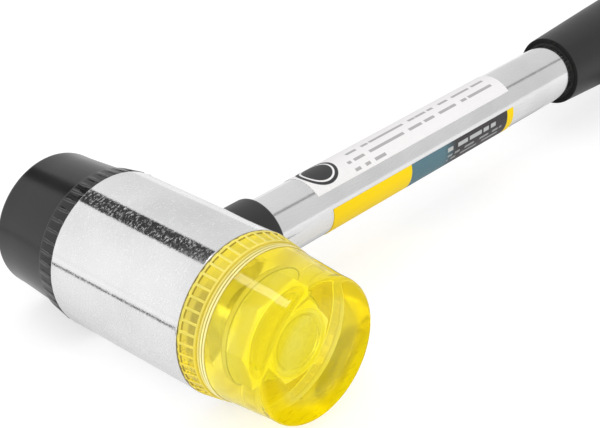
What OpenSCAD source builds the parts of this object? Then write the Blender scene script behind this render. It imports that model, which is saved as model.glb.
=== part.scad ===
// Soft face hammer with two screw-on faces, lying on its side.
// The head runs along X, the handle along Y and Z points up. The origin is
// at the middle of the part's outline, on the surface that it lies on.

/* [Barrel] */
// Diameter of the chromed barrel
barrel_d = 39; // [36:0.5:44]
// Length of the barrel along the head
barrel_len = 42.4; // [40:0.5:56]
// Chamfer on the barrel's two rims
barrel_chamfer = 0.3; // [0.2:0.1:1.2]
// Steel left between each threaded hole and the bore for the tube
hole_end_wall = 1.4; // [1:0.1:4]

/* [Faces] */
// Length of each face beyond the barrel
face_len = 23.7; // [21:0.5:32]
// How far the ribbed collar stands out past the barrel
collar_lip = 0.1; // [0:0.05:1.5]
// Fall of the collar's radius from the barrel to its front
collar_fall = 0.8; // [0.2:0.05:2]
// Step from the collar's front down to the body
body_step = 0.65; // [0.55:0.05:1.5]
// Fall of the body's radius from the collar to the striking end
body_fall = 1.15; // [0:0.05:4]
// Rounding of the striking edge
strike_round = 1.2; // [0.5:0.1:3]
// Length of the ribbed collar
face_collar_len = 5.1; // [5:0.1:7]
// Number of recesses round the collar
recess_count = 45; // [24:1:54]
// Width of the rib between two recesses
rib_w = 0.6; // [0.4:0.1:1.2]
// Depth of each recess of the yellow face
recess_depth = 0.3; // [0.2:0.1:0.6]
// Depth of each recess of the black face at the barrel
flute_depth = 0.4; // [0.2:0.1:0.6]
// Start of each recess of the yellow face, from the barrel
recess_start = 0.9; // [0.7:0.1:1.1]
// Length of each recess of the yellow face along the head
recess_len = 3.8; // [2.5:0.1:3.8]
// Number of fine beads between the yellow face's collar and body
bead_count = 3; // [1:1:4]
// Width of one bead
bead_w = 0.8; // [0.5:0.1:1]
// Height of one bead
bead_h = 0.3; // [0.15:0.05:0.5]

/* [Face bolts] */
// Outer diameter of the bolt's thread
thread_d = 10; // [8:0.5:12]
// Pitch of the thread
thread_pitch = 1.5; // [1:0.05:1.75]
// Depth of the thread's grooves
thread_groove = 0.9; // [0.4:0.05:0.95]
// Width of the hexagon across its flats
hex_flats = 17; // [16:0.5:19]
// Height of the bolt's head with its flange
hex_h = 6.8; // [5:0.1:8]
// Outer diameter of the round flange behind the hexagon
flange_d = 20.4; // [20:0.1:22]
// Thickness of that flange
flange_t = 1.5; // [1:0.1:2]
// Diameter of the floor of the dish in the head's front
dish_d = 12.4; // [10:0.1:13]
// Depth of the dish in the head's front
dish_h = 0.7; // [0.3:0.1:1]
// Depth of the bolt's head below the striking end
bolt_depth = 10.2; // [8:0.1:11]

/* [Lock washers] */
// Outer diameter of the spring washer
washer_d = 18; // [16:0.1:20]
// Thickness of the spring washer
washer_t = 2.2; // [1.5:0.1:2.6]
// Width of the washer's split
washer_split = 1.4; // [0.8:0.1:2]

/* [Handle tube] */
// Outer diameter of the tube
tube_d = 16; // [14:0.5:18]
// Wall of the tube
tube_wall = 1.5; // [1:0.1:2]
// How far the tube reaches past the head's axis
tube_reach = 10.5; // [6:0.5:12]
// Length of the wedge driven into the tube's head end
wedge_len = 14; // [8:1:20]
// Depth of the end plug inside the tube
end_plug_len = 10; // [6:1:16]
// Thickness of the end plug's flange
end_plug_flange = 1.6; // [1:0.1:3]

/* [Handle collar] */
// Wall of the plastic collar round the tube
root_collar_wall = 1.45; // [1:0.05:3]
// End of the collar, from the head's axis
root_collar_end = 26.9; // [24:0.1:34]
// Rounding of the collar's outer end edge
root_collar_round = 0.8; // [0.2:0.1:1]

/* [Grip] */
// Start of the grip, from the head's axis
grip_start = 144.4; // [130:0.1:160]
// Length of the grip
grip_len = 117.2; // [112:0.1:150]
// Rubber over the tube at the grip's front
grip_front_wall = 1.75; // [1.7:0.05:3]
// Rounding of the grip's front lip
grip_lip = 0.7; // [0.4:0.1:1.6]
// Widening of the radius per length just behind the lip
grip_flare = 0.047; // [0:0.001:0.08]
// Rubber over the tube at the swell
grip_swell_wall = 4; // [3:0.1:6]
// Place of the swell, from the grip's front
grip_swell_at = 60; // [50:1:64]
// Rubber over the tube at the waist
grip_waist_wall = 3.3; // [2:0.1:5]
// Place of the waist, from the grip's front
grip_waist_at = 92; // [80:1:96]
// Rubber over the tube at the butt
grip_butt_wall = 4.7; // [3:0.1:7]
// Rounding of the butt's edge
grip_butt_round = 5; // [2:0.5:6]
// Rubber behind the end of the tube
grip_end_wall = 3.5; // [2:0.5:6]

/* [Labels] */
// Thickness of a sticker
label_t = 0.15; // [0.1:0.05:0.3]
// Start of the white sticker, from the head's axis
label_white_start = 42; // [36:0.5:48]
// Length of the white sticker
label_white_len = 75.5; // [50:0.5:86]
// Lower edge of the white sticker, in degrees from the top
label_white_edge_angle = 46; // [30:1:60]
// Turn of the white sticker round the tube, in degrees
label_white_turn_angle = 120; // [60:1:150]
// Start of the coloured sticker, from the head's axis
label_band_start = 45; // [36:0.5:48]
// Length of the coloured sticker
label_band_len = 72; // [50:0.5:86]
// Upper edge of the coloured sticker, in degrees from the top
label_band_edge_angle = 78; // [70:1:100]
// Turn of the coloured sticker round the tube, in degrees
label_band_turn_angle = 112; // [60:1:130]

/* [Fits] */
// Radial play between the bolt and what it turns or slides in
bolt_play = 0.1; // [0.03:0.01:0.1]
// Radial room round the lock washer in its seat
washer_room = 0.4; // [0.3:0.05:0.6]
// Gap between the handle collar's saddle and the barrel
saddle_gap = 0.05; // [0.02:0.01:0.2]

/* [Hidden] */
$fn = 96;
// How far a cut reaches past what it cuts
over = 1;
// Plain tip of the bolt, and its gap to the end of the hole
thread_run = 0.5;
// Crest of the thread, as a share of its pitch
crest_share = 1 / 8;
// Round front of the bolt's head, as a share of its width
chamfer_share = 0.96;
// Points along an arc or stretch of an outline, and along one bead
profile_steps = 10;
bead_steps = 6;

barrel_r = barrel_d / 2;
barrel_end = barrel_len / 2;
face_collar_r = barrel_r + collar_lip;
face_collar_front_r = face_collar_r - collar_fall;
body_root_r = face_collar_front_r - body_step;
strike_r = body_root_r - body_fall;
recess_w = 2 * PI * face_collar_front_r / recess_count - rib_w;
washer_seat_r = washer_d / 2 + washer_room;
thread_r = thread_d / 2;
thread_hole_r = thread_r + bolt_play;
tube_r = tube_d / 2;
tube_bore_r = tube_r - tube_wall;
thread_hole_depth = barrel_end - tube_r - hole_end_wall;
grip_end = grip_start + grip_len;
tube_end = grip_end - grip_end_wall - end_plug_flange;
hex_front = face_len - bolt_depth;
hex_back = hex_front - hex_h;
bolt_tip = thread_run - thread_hole_depth;
head_z = max(face_collar_r, barrel_r);
head_y = (head_z - grip_end) / 2;

// Puts what is drawn about the crossing of head and handle into its place
module at_head() translate([0, head_y, head_z]) children();

// Turns what is drawn along Z to lie along the handle, with its X side up
module along_handle() at_head() rotate([-90, 0, 0]) rotate(-90) children();

// Turns what is drawn along Z, from the barrel's end outwards, to one side of the head
module on_end(side) at_head() rotate([0, 90 * side, 0]) translate([0, 0, barrel_end]) children();

// Points of an arc about a centre, from one angle to another
function arc(centre, r, from, to) =
    [for (i = [0:profile_steps]) let (a = from + (to - from) * i / profile_steps)
        centre + r * [cos(a), sin(a)]];

// An outline without the points that repeat the one before
function joined(points) =
    [for (i = [0:len(points) - 1]) if (i == 0 || norm(points[i] - points[max(i - 1, 0)]) > 0.001) points[i]];

// Radius along a smooth stretch of the grip, with a slope at its start and none at its end
function eased(r0, r1, len, slope, t) =
    r0 + (r1 - r0) * (3 * t * t - 2 * t * t * t) + slope * len * (t * t * t - 2 * t * t + t);

// Points of one such stretch, from some share of it to its end
function stretch(r0, r1, z0, z1, slope, from) =
    [for (i = [0:profile_steps]) let (t = from + (1 - from) * i / profile_steps)
        [eased(r0, r1, z1 - z0, slope, t), z0 + (z1 - z0) * t]];

// Solid steel cylinder with a blind cross bore for the tube and a threaded hole in each end
module head_barrel() color("silver") difference() {
    at_head() rotate([0, 90, 0]) rotate_extrude()
        polygon([[0, -barrel_end], [barrel_r - barrel_chamfer, -barrel_end],
            [barrel_r, -barrel_end + barrel_chamfer], [barrel_r, barrel_end - barrel_chamfer],
            [barrel_r - barrel_chamfer, barrel_end], [0, barrel_end]]);
    along_handle() translate([0, 0, -tube_reach]) cylinder(r = tube_r, h = tube_reach + barrel_r + over);
    for (side = [-1, 1])
        on_end(side) translate([0, 0, -thread_hole_depth])
            cylinder(r = thread_hole_r, h = thread_hole_depth + over);
}

// Chromed steel tube from the barrel's bore to the end of the grip
module handle_tube() color("gainsboro") along_handle() difference() {
    translate([0, 0, -tube_reach]) cylinder(r = tube_r, h = tube_end + tube_reach);
    translate([0, 0, -tube_reach - over]) cylinder(r = tube_bore_r, h = tube_end + tube_reach + 2 * over);
}

// Steel plug that spreads the tube's end in the barrel
module handle_wedge() color("dimgray") along_handle()
    translate([0, 0, -tube_reach]) cylinder(r = tube_bore_r, h = wedge_len);

// Plastic collar at the root of the handle, cut to sit on the barrel
module handle_collar() {
    r = tube_r + root_collar_wall;
    color("#2b2b2d") difference() {
        along_handle() rotate_extrude()
            polygon(joined(concat([[tube_r, 0], [r, 0]],
                arc([r - root_collar_round, root_collar_end - root_collar_round], root_collar_round, 0, 90),
                [[tube_r, root_collar_end]])));
        at_head() rotate([0, 90, 0]) cylinder(r = barrel_r + saddle_gap, h = barrel_len, center = true);
    }
}

// Rubber sleeve with a rounded lip, a swell, a waist and a closed butt
module grip() {
    front_r = tube_r + grip_front_wall;
    swell_r = tube_r + grip_swell_wall;
    waist_r = tube_r + grip_waist_wall;
    butt_r = tube_r + grip_butt_wall;
    butt_at = grip_len - grip_butt_round;
    lip_share = grip_lip / grip_swell_at;
    lip_r = eased(front_r, swell_r, grip_swell_at, grip_flare, lip_share);
    bore_len = grip_len - grip_end_wall;
    color("#242426") along_handle() translate([0, 0, grip_start]) rotate_extrude()
        polygon(joined(concat([[0, bore_len], [tube_r, bore_len], [tube_r, 0]],
            arc([lip_r - grip_lip, grip_lip], grip_lip, -90, 0),
            stretch(front_r, swell_r, 0, grip_swell_at, grip_flare, lip_share),
            stretch(swell_r, waist_r, grip_swell_at, grip_waist_at, 0, 0),
            stretch(waist_r, butt_r, grip_waist_at, butt_at, 0, 0),
            arc([butt_r - grip_butt_round, butt_at], grip_butt_round, 0, 90),
            [[0, grip_len]])));
}

// Plastic plug in the tube's far end, with a flange over the tube's edge
module tube_end_plug() color("#3a3a3c") along_handle() translate([0, 0, tube_end]) {
    translate([0, 0, -end_plug_len]) cylinder(r = tube_bore_r, h = end_plug_len);
    cylinder(r = tube_r, h = end_plug_flange);
}

// A sticker bent round the tube, its turn counted from the top towards the yellow face
module sticker(start, len, from, turn)
    along_handle() translate([0, 0, start]) rotate(from) rotate_extrude(angle = turn)
        translate([tube_r, 0]) square([label_t, len]);

// White sticker over the top of the tube
module label_white() color("whitesmoke")
    sticker(label_white_start, label_white_len,
        label_white_edge_angle - label_white_turn_angle, label_white_turn_angle);

// Coloured sticker on the tube's lower side
module label_band() color("gold")
    sticker(label_band_start, label_band_len, label_band_edge_angle, label_band_turn_angle);

// Outline of one bead beside the collar, as a low half wave
function bead(i) = let (z0 = face_collar_len + i * bead_w)
    [for (k = [0:bead_steps]) let (share = k / bead_steps)
        [body_root_r + bead_h * sin(180 * share), z0 + bead_w * share]];

// A moulded face without its bolt: ribbed collar, any fine beads, tapered body and rounded striking edge
module face_blank(beads, fluted) {
    taper = atan2(body_root_r - strike_r, face_len - face_collar_len - beads * bead_w);
    round_r = strike_r + strike_round * (tan(taper) - 1 / cos(taper));
    difference() {
        rotate_extrude()
            polygon(joined(concat([[0, 0], [face_collar_r, 0], [face_collar_front_r, face_collar_len]],
                [[body_root_r, face_collar_len]], [for (i = [0:1:beads - 1]) each bead(i)],
                arc([round_r, face_len - strike_round], strike_round, taper, 90),
                [[0, face_len]])));
        for (i = [0:recess_count - 1]) rotate(360 * i / recess_count)
            on_collar() if (fluted) flute(); else recess();
    }
}

// Puts what is drawn about Z, with X outwards, on the collar's slope
module on_collar() {
    slope = atan2(face_collar_r - face_collar_front_r, face_collar_len);
    translate([face_collar_r, 0, 0]) rotate([0, -slope, 0]) children();
}

// One recess of the yellow face's collar, closed on all four sides
module recess()
    translate([-recess_depth, -recess_w / 2, recess_start]) cube([recess_depth + over, recess_w, recess_len]);

// One recess of the black face's collar, open at the barrel and rising to the collar's front
module flute() {
    front = recess_start + recess_len;
    rise = atan2(flute_depth, front);
    run = front / cos(rise) + over;
    translate([0, 0, front]) rotate([0, rise, 0])
        translate([0, -recess_w / 2, -run]) cube([flute_depth + over, recess_w, run]);
}

// A face with the room for its moulded-in bolt and for the washer behind it
module face(beads, fluted) difference() {
    face_blank(beads, fluted);
    translate([0, 0, hex_back]) hex_head();
    translate([0, 0, -over]) cylinder(r = thread_r, h = hex_back + 2 * over);
    translate([0, 0, -over]) cylinder(r = washer_seat_r, h = washer_t + over);
}

// Hexagon bolt head with its chamfered and dished front, on its round flange
module hex_head() {
    corner_r = hex_flats / sqrt(3);
    chamfer_r = chamfer_share * hex_flats / 2;
    chamfer_h = (corner_r - chamfer_r) * tan(30);
    dish_r = dish_d / 2;
    difference() {
        union() {
            cylinder(r = flange_d / 2, h = flange_t);
            intersection() {
                cylinder(r = corner_r, h = hex_h, $fn = 6);
                union() {
                    cylinder(r = corner_r + over, h = hex_h - chamfer_h);
                    translate([0, 0, hex_h - chamfer_h])
                        cylinder(r1 = corner_r, r2 = chamfer_r, h = chamfer_h);
                }
            }
        }
        translate([0, 0, hex_h - dish_h]) cylinder(r1 = dish_r, r2 = dish_r + 2 * dish_h, h = 2 * dish_h);
    }
}

// One turn of the thread, drawn as a ring, from its groove to its crest
function thread_turn(z) = let (crest = crest_share * thread_pitch)
    [[thread_r - thread_groove, z], [thread_r, z + (thread_pitch - crest) / 2],
        [thread_r, z + (thread_pitch + crest) / 2]];

// Hexagon bolt: its head and plain neck lie in the face, its thread sticks out behind
module bolt() {
    turns = floor((-bolt_tip - thread_run) / thread_pitch);
    thread_start = bolt_tip + thread_run;
    root_r = thread_r - thread_groove;
    neck_end = hex_front - dish_h;
    color("darkgray") {
        translate([0, 0, hex_back]) hex_head();
        rotate_extrude()
            polygon(joined(concat([[0, neck_end], [0, bolt_tip], [root_r, bolt_tip]],
                [for (i = [0:turns - 1]) each thread_turn(thread_start + i * thread_pitch)],
                [[root_r, thread_start + turns * thread_pitch],
                    [thread_r, washer_t], [thread_r, neck_end]])));
    }
}

// Split spring washer between the face and the barrel
module lock_washer() color("lightslategray") difference() {
    cylinder(r = washer_d / 2, h = washer_t);
    translate([0, 0, -over]) cylinder(r = thread_hole_r, h = washer_t + 2 * over);
    translate([0, -washer_split / 2, -over]) cube([washer_d, washer_split, washer_t + 2 * over]);
}

module yellow_face() color("gold") on_end(1) face(bead_count, false);
module yellow_face_bolt() on_end(1) bolt();
module yellow_lock_washer() on_end(1) lock_washer();
module black_face() color("#2e2e30") on_end(-1) face(0, true);
module black_face_bolt() on_end(-1) bolt();
module black_lock_washer() on_end(-1) lock_washer();

head_barrel();
handle_tube();
handle_wedge();
handle_collar();
grip();
tube_end_plug();
label_white();
label_band();
yellow_face();
yellow_face_bolt();
yellow_lock_washer();
black_face();
black_face_bolt();
black_lock_washer();
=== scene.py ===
from math import cos, pi, radians, sin, sqrt, tan, tau

import bmesh
import bpy
from mathutils import Matrix, Vector


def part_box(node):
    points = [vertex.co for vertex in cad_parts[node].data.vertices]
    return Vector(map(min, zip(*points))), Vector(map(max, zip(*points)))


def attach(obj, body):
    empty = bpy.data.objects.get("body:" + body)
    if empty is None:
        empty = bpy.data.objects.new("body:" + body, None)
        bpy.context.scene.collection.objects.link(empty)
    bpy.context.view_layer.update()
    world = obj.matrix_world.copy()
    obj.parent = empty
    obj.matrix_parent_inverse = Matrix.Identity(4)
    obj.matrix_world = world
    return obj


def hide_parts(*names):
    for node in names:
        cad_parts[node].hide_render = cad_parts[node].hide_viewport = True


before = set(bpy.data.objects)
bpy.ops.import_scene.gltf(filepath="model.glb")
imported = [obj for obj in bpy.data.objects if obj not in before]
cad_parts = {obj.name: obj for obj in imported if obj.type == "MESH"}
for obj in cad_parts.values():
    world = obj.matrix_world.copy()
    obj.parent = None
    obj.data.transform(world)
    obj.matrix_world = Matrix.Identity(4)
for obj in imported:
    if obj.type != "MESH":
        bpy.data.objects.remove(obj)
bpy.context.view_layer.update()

# Head barrel: a solid steel bar, turned to a cylinder, bored across for the tube and tapped at both ends.
# It is polished and plated with bright chrome, which shows a fine grain where it mirrors something dark.
mm = 0.001
barrel_low, barrel_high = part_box("head_barrel")
head = (barrel_low + barrel_high) / 2
barrel_end = barrel_high.x - head.x
barrel_radius = barrel_high.z - head.z
barrel_rim = 0.3 * mm
barrel_columns = 192
barrel_row = 1.5 * mm
barrel_half_rows = 13
tap_radius = 5.1 * mm
tap_depth = 11.8 * mm
tap_rim = 0.4 * mm
tube_radius = 8 * mm
tube_start = -10.5 * mm
bore_play = 0.03 * mm
bore_columns = 96
barrel_tint = (0.9, 0.9, 0.905, 1)
barrel_dim = (0.8, 0.8, 0.805, 1)


class Wire:
    """One socket of a node tree. A sum on wires adds its Math nodes to their tree."""

    def __init__(self, tree, socket=None):
        self.tree = tree
        self.socket = socket

    def node(self, kind, settings=None, sockets=None, out=0):
        """Adds a node with these settings, then sets or links its sockets, and gives one of its outputs."""
        made = self.tree.nodes.new(kind)
        for key, value in (settings or {}).items():
            setattr(made, key, value)
        for key, value in (sockets or {}).items():
            if isinstance(value, Wire):
                self.tree.links.new(value.socket, made.inputs[key])
            else:
                made.inputs[key].default_value = value
        return Wire(self.tree, made.outputs[out] if made.outputs else None)

    def beside(self, out):
        """Another output of the node that this wire comes from."""
        return Wire(self.tree, self.socket.node.outputs[out])

    def maths(self, operation, *values):
        return self.node("ShaderNodeMath", {"operation": operation}, dict(enumerate(values)))

    def __add__(self, other):
        return self.maths("ADD", self, other)

    def __sub__(self, other):
        return self.maths("SUBTRACT", self, other)

    def __rsub__(self, other):
        return self.maths("SUBTRACT", other, self)

    def __mul__(self, other):
        return self.maths("MULTIPLY", self, other)

    def __truediv__(self, other):
        return self.maths("DIVIDE", self, other)

    __radd__ = __add__
    __rmul__ = __mul__

    def __abs__(self):
        return self.maths("ABSOLUTE", self)

    def most(self, other):
        """The greater of this wire and another value."""
        return self.maths("MAXIMUM", self, other)

    def least(self, other):
        """The smaller of this wire and another value."""
        return self.maths("MINIMUM", self, other)

    def split(self):
        """The X of this place. Its Y and Z are beside it."""
        return self.node("ShaderNodeSeparateXYZ", {}, {0: self}, "X")

    def rise(self, low, high):
        """Goes smoothly from 0 to 1 while this wire goes from low to high."""
        return self.node("ShaderNodeMapRange", {"interpolation_type": "SMOOTHSTEP"},
                         {0: self, 1: low, 2: high})

    def tint(self, low, high):
        """The colour low where this wire is 0, and high where it is 1."""
        return self.node("ShaderNodeMix", {"data_type": "RGBA"}, {0: self, 6: low, 7: high}, 2)

    def cover(self, under, top):
        """The shader under where this wire is 0, and the shader top where it is 1."""
        return self.node("ShaderNodeMixShader", {}, {0: self, 1: under, 2: top})

    def noise(self, scale, detail=2.0, roughness=0.5):
        """Noise at this place."""
        return self.node("ShaderNodeTexNoise", {},
                         {"Vector": self, "Scale": scale, "Detail": detail, "Roughness": roughness})

    def bump(self, distance):
        """The normal of a surface whose height this wire gives, as a share of the distance."""
        return self.node("ShaderNodeBump", {}, {"Strength": 1.0, "Distance": distance, "Height": self})


def grey(level):
    return (level, level, level, 1)


def finish(name, settings):
    """A material with one Principled shader. These are the settings that are the same all over."""
    material = bpy.data.materials.new(name)
    material.use_nodes = True
    for socket, value in settings.items():
        material.node_tree.nodes["Principled BSDF"].inputs[socket].default_value = value
    wire = Wire(material.node_tree)
    return material, wire.node("ShaderNodeTexCoord", out="Object")


def feed(material, wires):
    """Links what varies over the surface to the material's shader."""
    shader = material.node_tree.nodes["Principled BSDF"]
    for socket, wire in wires.items():
        material.node_tree.links.new(wire.socket, shader.inputs[socket])


def around_head(along, radius, turn):
    """A point beside the head's axis. The turn starts at the handle and goes over the top."""
    return head + Vector((along, radius * cos(turn), radius * sin(turn)))


def around_handle(along, radius, turn):
    """A point beside the handle's axis. The turn starts at the top and goes towards the yellow face."""
    return head + Vector((radius * sin(turn), along, radius * cos(turn)))


def softened(corners, steps=5):
    """The outline through corners (along, radius, rounding). Points on both sides hold each arc."""
    hold = 0.3
    points = []
    befores = corners[-1:] + corners[:-1]
    afters = corners[1:] + corners[:1]
    for before, (along, radius, rounding), after in zip(befores, corners, afters):
        corner = Vector((along, radius))
        if not rounding:
            points.append(corner)
            continue
        back = (Vector(before[:2]) - corner).normalized()
        ahead = (Vector(after[:2]) - corner).normalized()
        half = back.angle(ahead) / 2
        reach = rounding / tan(half)
        centre = corner + (back + ahead).normalized() * rounding / sin(half)
        first = corner + back * reach
        last = corner + ahead * reach
        points.append(first + back * hold * rounding)
        for step in range(steps + 1):
            points.append(centre + rounding * (first - centre).slerp(last - centre, step / steps))
        points.append(last + ahead * hold * rounding)
    return points


def smooth(mesh, crease):
    """Shades a mesh smoothly, and keeps edges that are sharper than the crease."""
    mesh.shade_smooth()
    mesh.set_sharp_from_angle(angle=radians(crease))


def put_in_scene(name, data):
    made = bpy.data.objects.new(name, data)
    bpy.context.scene.collection.objects.link(made)
    return made


def piece(name, shape, crease=40):
    """An object made of a bmesh, with merged points and faces outwards."""
    same_place = 0.0005 * mm
    no_length = 0.0002 * mm
    bmesh.ops.remove_doubles(shape, verts=shape.verts, dist=same_place)
    bmesh.ops.dissolve_degenerate(shape, edges=shape.edges, dist=no_length)
    bmesh.ops.recalc_face_normals(shape, faces=shape.faces)
    mesh = bpy.data.meshes.new(name)
    shape.to_mesh(mesh)
    shape.free()
    smooth(mesh, crease)
    return put_in_scene(name, mesh)


def lay_rings(shape, rings, closed=True):
    """Adds the faces between neighbouring rings of points."""
    rows = [[shape.verts.new(point) for point in ring] for ring in rings]
    for row, following in zip(rows, rows[1:]):
        for column in range(0 if closed else 1, len(row)):
            shape.faces.new((row[column - 1], row[column], following[column], following[column - 1]))


def turned(name, outline, place, columns):
    """A piece turned about an axis. A closed outline repeats its first point at its end."""
    shape = bmesh.new()
    lay_rings(shape, [[place(along, radius, tau * column / columns) for column in range(columns)]
                      for along, radius in outline])
    return piece(name, shape)


def settle(made, crease=40):
    """Turns what an object's modifiers make into its plain mesh."""
    seen = made.evaluated_get(bpy.context.evaluated_depsgraph_get())
    mesh = bpy.data.meshes.new_from_object(seen)
    made.modifiers.clear()
    made.data = mesh
    smooth(mesh, crease)


def chrome(name, tint, dim, rough, grain, height, stretch, specks):
    """Plated steel: a mirror with a fine grain, dull specks, faint clouds and a few pits."""
    cloud_scale = 70
    pit_scale = 170
    pit_cluster_scale = 90
    ripple_scale = 160
    speck_finer = 1.3
    speck_grey = grey(0.78)
    material, place = finish(name, {})
    drawn = place.node("ShaderNodeMapping", {"vector_type": "POINT"}, {"Vector": place, "Scale": stretch})
    fine = drawn.noise(grain, 4.0, 0.7)
    dull = drawn.noise(speck_finer * grain, 3.0, 0.7).rise(0.5, 0.68) * specks
    cloud = place.noise(cloud_scale, 3.0)
    pit = place.node("ShaderNodeTexVoronoi", {}, {"Vector": place, "Scale": pit_scale, "Randomness": 1.0})
    cluster = place.noise(pit_cluster_scale, 0.0).rise(0.58, 0.66)
    pits = (1 - pit.rise(0.03, 0.09)) * cluster
    ripple = place.noise(ripple_scale, 1.0)
    plating = (cloud.rise(0.25, 0.75) - 0.6 * pits).tint(dim, tint)
    feed(material, {
        "Base Color": dull.tint(plating, speck_grey),
        "Metallic": 1 - dull,
        "Roughness": rough + 0.05 * cloud + 0.25 * pits,
        "Normal": (fine + 0.8 * ripple - 0.5 * pits).bump(height),
    })
    return material


tap_floor = barrel_end - tap_depth
barrel_side = [(barrel_row * row, barrel_radius, 0)
               for row in range(-barrel_half_rows, barrel_half_rows + 1)]
barrel_corners = [(-tap_floor, 0, 0), (-tap_floor, tap_radius, 0),
                  (-barrel_end, tap_radius, tap_rim), (-barrel_end, barrel_radius, barrel_rim)]
barrel_corners += barrel_side
barrel_corners += [(barrel_end, barrel_radius, barrel_rim), (barrel_end, tap_radius, tap_rim),
                   (tap_floor, tap_radius, 0), (tap_floor, 0, 0)]
barrel = turned("barrel", softened(barrel_corners), around_head, barrel_columns)
bore_radius = tube_radius + bore_play
bore_end = barrel_radius + mm
bore_outline = [(tube_start, 0), (tube_start, bore_radius), (bore_end, bore_radius), (bore_end, 0)]
bore = turned("bore", bore_outline, around_handle, bore_columns)
bored = barrel.modifiers.new("bored", "BOOLEAN")
bored.operation = "DIFFERENCE"
bored.solver = "EXACT"
bored.object = bore
settle(barrel)
bpy.data.objects.remove(bore)
barrel.data.materials.clear()
barrel.data.materials.append(chrome(
    "chromed_barrel", barrel_tint, barrel_dim, rough=0.05, grain=1500, height=0.012 * mm,
    stretch=(1, 0.6, 0.6), specks=0.5))
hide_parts("head_barrel")
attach(barrel, "hammer")

# Handle tube: drawn steel tube with a chromed outside, pressed into the barrel's bore.
# Its finish is a little greyer than the barrel's, with fine lines along its length.
tube_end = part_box("handle_tube")[1].y - head.y
tube_bore = 6.5 * mm
tube_edge = 0.3 * mm
tube_columns = 128
tube_tint = (0.88, 0.88, 0.885, 1)
tube_dim = (0.8, 0.8, 0.805, 1)
tube_corners = [(tube_start, tube_bore, tube_edge), (tube_start, tube_radius, tube_edge),
                (tube_end, tube_radius, tube_edge), (tube_end, tube_bore, tube_edge)]
tube_outline = softened(tube_corners)
tube = turned("tube", tube_outline + tube_outline[:1], around_handle, tube_columns)
tube.data.materials.append(chrome(
    "chromed_tube", tube_tint, tube_dim, rough=0.09, grain=2200, height=0.01 * mm,
    stretch=(1, 0.12, 1), specks=0.1))
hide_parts("handle_tube")
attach(tube, "hammer")

# Handle wedge: a plain steel slug, driven into the tube inside the barrel so that the tube grips the bore.
# It is never seen, and keeps its solid from the construction.
wedge_tint = (0.45, 0.45, 0.46, 1)
wedge_dim = grey(0.2)


def plain_steel(name, tint, dim, rough, grain):
    """Unpolished or zinc-plated steel with small dark specks."""
    wear_scale = 260
    tooth = 0.012 * mm
    material, place = finish(name, {"Metallic": 1.0})
    specks = place.noise(grain, 4.0, 0.7)
    wear_and_highlight = place.noise(wear_scale, 2.0)
    feed(material, {
        "Base Color": specks.rise(0.36, 0.6).tint(dim, tint),
        "Roughness": rough + 0.18 * wear_and_highlight,
        "Normal": (specks + wear_and_highlight).bump(tooth),
    })
    return material


def refinish(node, material):
    """Gives this material to a piece that keeps its solid."""
    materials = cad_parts[node].data.materials
    materials.clear()
    materials.append(material)


refinish("handle_wedge", plain_steel("wedge_steel", wedge_tint, wedge_dim, rough=0.4, grain=900))

# Handle collar: a moulded black plastic sleeve over the root of the tube.
# One end is cut to a saddle that sits on the barrel, and the other end has a rounded edge.
collar_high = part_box("handle_collar")[1]
collar_radius = collar_high.z - head.z
collar_end = collar_high.y - head.y
collar_inside = tube_radius + 0.02 * mm
collar_columns = 128
collar_edge = 0.8 * mm
collar_mouth = 0.2 * mm
collar_front = 3 * mm
collar_back = 9 * mm
saddle_radius = barrel_radius + 0.05 * mm
saddle_round = 0.25 * mm
saddle_bevel = 0.07 * mm
saddle_rim = 0.4 * mm
collar_colour = (0.016, 0.016, 0.017, 1)


def saddle(radius, turn):
    """How far along the handle the barrel's side lies under this point of the collar."""
    return sqrt(saddle_radius ** 2 - (radius * cos(turn)) ** 2)


def black_plastic(name, colour, rough, grain, height, rubbed):
    """Moulded black plastic or rubber: an even satin with a fine grain and a few pale rubs."""
    cloud_scale = 120
    rub_scale = 420
    rub_paler = 2.4
    material, place = finish(name, {"Specular IOR Level": 0.5})
    fine = place.noise(grain, 2.0, 0.6)
    cloud = place.noise(cloud_scale, 3.0)
    rubs = place.noise(rub_scale, 5.0, 0.75).rise(0.66, 0.78)
    pale = tuple(min(1, rub_paler * part) for part in colour[:3]) + (1,)
    feed(material, {
        "Base Color": (0.25 * cloud + rubbed * rubs).tint(colour, pale),
        "Roughness": rough + 0.12 * (cloud - 0.5) + 0.1 * rubs,
        "Normal": (fine + 0.6 * rubs).bump(height),
    })
    return material


collar_turns = [tau * column / collar_columns for column in range(collar_columns)]
saddle_sides = [(collar_inside, 0), (collar_radius - saddle_round, 0),
                (collar_radius - saddle_bevel, saddle_bevel),
                (collar_radius, saddle_round), (collar_radius, saddle_rim)]
collar_rings = [[around_handle(saddle(radius, turn) + lift, radius, turn) for turn in collar_turns]
                for radius, lift in saddle_sides]
collar_corners = [(collar_end, collar_radius, collar_edge), (collar_end, collar_inside, collar_mouth),
                  (collar_end - collar_back, collar_inside, 0), (collar_end - collar_back, collar_radius, 0)]
for along, radius in softened(collar_corners):
    if along > collar_end - collar_front:
        collar_rings.append([around_handle(along, radius, turn) for turn in collar_turns])
collar_rings.append(collar_rings[0])
collar_shape = bmesh.new()
lay_rings(collar_shape, collar_rings)
collar = piece("handle_collar_skin", collar_shape)
collar.data.materials.append(
    black_plastic("collar_satin", collar_colour, rough=0.42, grain=2400, height=0.006 * mm, rubbed=0.2))
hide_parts("handle_collar")
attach(collar, "hammer")

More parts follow.
